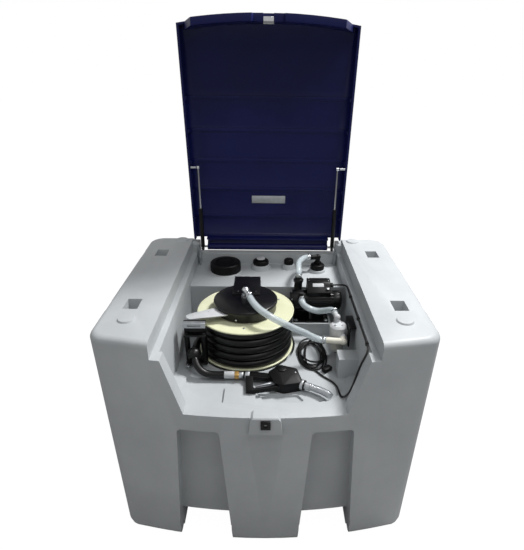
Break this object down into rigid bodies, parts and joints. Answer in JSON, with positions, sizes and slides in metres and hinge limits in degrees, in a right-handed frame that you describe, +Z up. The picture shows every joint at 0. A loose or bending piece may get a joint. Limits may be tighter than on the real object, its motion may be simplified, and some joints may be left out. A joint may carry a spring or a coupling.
{
  "type": "portable diesel tank",
  "caption": "Moulded portable fuel tank with fork tunnels and a hinged lid over a compartment with pump, filter, hose reel, nozzle and power cable.",
  "frame": {"origin": "on the ground under the middle of the tank, half way between its front corners and its back face", "axes": "+X to the tank's right seen from the front, +Y from the notched front to the hinged back, +Z up"},
  "size_m": [1.1, 0.9921, 1.8033],
  "materials": {
    "tank_plastic": "rotomoulded polyethylene, light grey, fine texture",
    "lid_plastic": "rotomoulded polyethylene, navy blue",
    "black_plastic": "moulded black plastic",
    "black_rubber": "black rubber hose and cable sheath",
    "clear_hose": "clear flexible PVC",
    "pump_paint": "black powder coat",
    "dark_steel": "black painted steel plate",
    "cream_steel": "cream painted sheet steel",
    "aluminium": "satin die-cast aluminium",
    "steel": "zinc-plated steel",
    "chrome": "polished chrome",
    "brass": "machined brass",
    "cream_plastic": "cream moulded nylon",
    "bowl_plastic": "clear moulded filter bowl"
  },
  "bodies": {
    "tank": {"tank_body": "tank_plastic", "hinge_pins": "steel", "filler_cap": "black_plastic", "vent_cap": "black_plastic", "gauge_cap": "black_plastic", "suction_cap": "black_plastic", "suction_elbow": "black_plastic", "suction_hose": "clear_hose", "pump_base": "dark_steel", "pump_head": "pump_paint", "pump_motor": "pump_paint", "pump_terminal_box": "black_plastic", "transfer_hose": "clear_hose", "filter_head": "aluminium", "filter_bowl": "bowl_plastic", "filter_bracket": "dark_steel", "feed_elbow": "cream_plastic", "feed_hose": "clear_hose", "reel_stand": "dark_steel", "reel_housing": "dark_steel", "reel_bracket": "dark_steel", "reel_swivel": "steel", "guide_arm": "steel", "guide_frame": "black_plastic", "guide_rollers": "aluminium", "hose_stopper": "black_rubber", "delivery_hose": "black_rubber", "hose_ferrule": "brass", "nozzle_body": "black_plastic", "nozzle_spout": "aluminium", "cable_clips": "black_plastic", "power_cable": "black_rubber", "cable_coil": "black_rubber", "cable_connector": "black_plastic", "latch_striker": "dark_steel", "strut_anchors": "steel"},
    "lid": {"lid_shell": "lid_plastic", "lid_plaque": "aluminium", "lid_latch": "chrome", "lid_studs": "steel"},
    "reel": {"reel_drum": "cream_steel", "wound_hose": "black_rubber"},
    "strut_left": {"strut_cylinder_left": "dark_steel"},
    "strut_rod_left_body": {"strut_rod_left": "chrome"},
    "strut_right": {"strut_cylinder_right": "dark_steel"},
    "strut_rod_right_body": {"strut_rod_right": "chrome"},
    "trigger": {"nozzle_trigger": "aluminium"}
  },
  "joints": [
    {"name": "lid_hinge", "type": "hinge", "parent": "tank", "child": "lid", "pos_m": [0, 0.424, 0.876], "axis": [1, 0, 0], "range_deg": [0, 87.9]},
    {"name": "reel_spin", "type": "hinge", "parent": "tank", "child": "reel", "pos_m": [-0.082, -0.053, 0.72], "axis": [0, 0, 1], "continuous": true},
    {"name": "strut_left_pivot", "type": "hinge", "parent": "tank", "child": "strut_left", "pos_m": [-0.303, 0.385, 0.88], "axis": [1, 0, 0], "range_deg": [-1, 96.3]},
    {"name": "strut_left_slide", "type": "slide", "parent": "strut_left", "child": "strut_rod_left_body", "axis": [0, 0.0407, 0.9992], "range_m": [-0.03637, 0.002]},
    {"name": "strut_right_pivot", "type": "hinge", "parent": "tank", "child": "strut_right", "pos_m": [0.303, 0.385, 0.88], "axis": [1, 0, 0], "range_deg": [-1, 96.3]},
    {"name": "strut_right_slide", "type": "slide", "parent": "strut_right", "child": "strut_rod_right_body", "axis": [0, 0.0407, 0.9992], "range_m": [-0.03637, 0.002]},
    {"name": "trigger_pull", "type": "hinge", "parent": "tank", "child": "trigger", "pos_m": [0.0348, -0.3325, 0.662], "axis": [0, 0, -1], "range_deg": [0, 12], "stiffness_Nm_per_rad": 0.2}
  ],
  "couplings": [
    {"joint": "strut_left_pivot", "follows": "lid_hinge", "ratio": 1.0785},
    {"joint": "strut_left_slide", "follows": "lid_hinge", "m_per_rad": -0.022402},
    {"joint": "strut_right_pivot", "follows": "lid_hinge", "ratio": 1.0785},
    {"joint": "strut_right_slide", "follows": "lid_hinge", "m_per_rad": -0.022402}
  ]
}
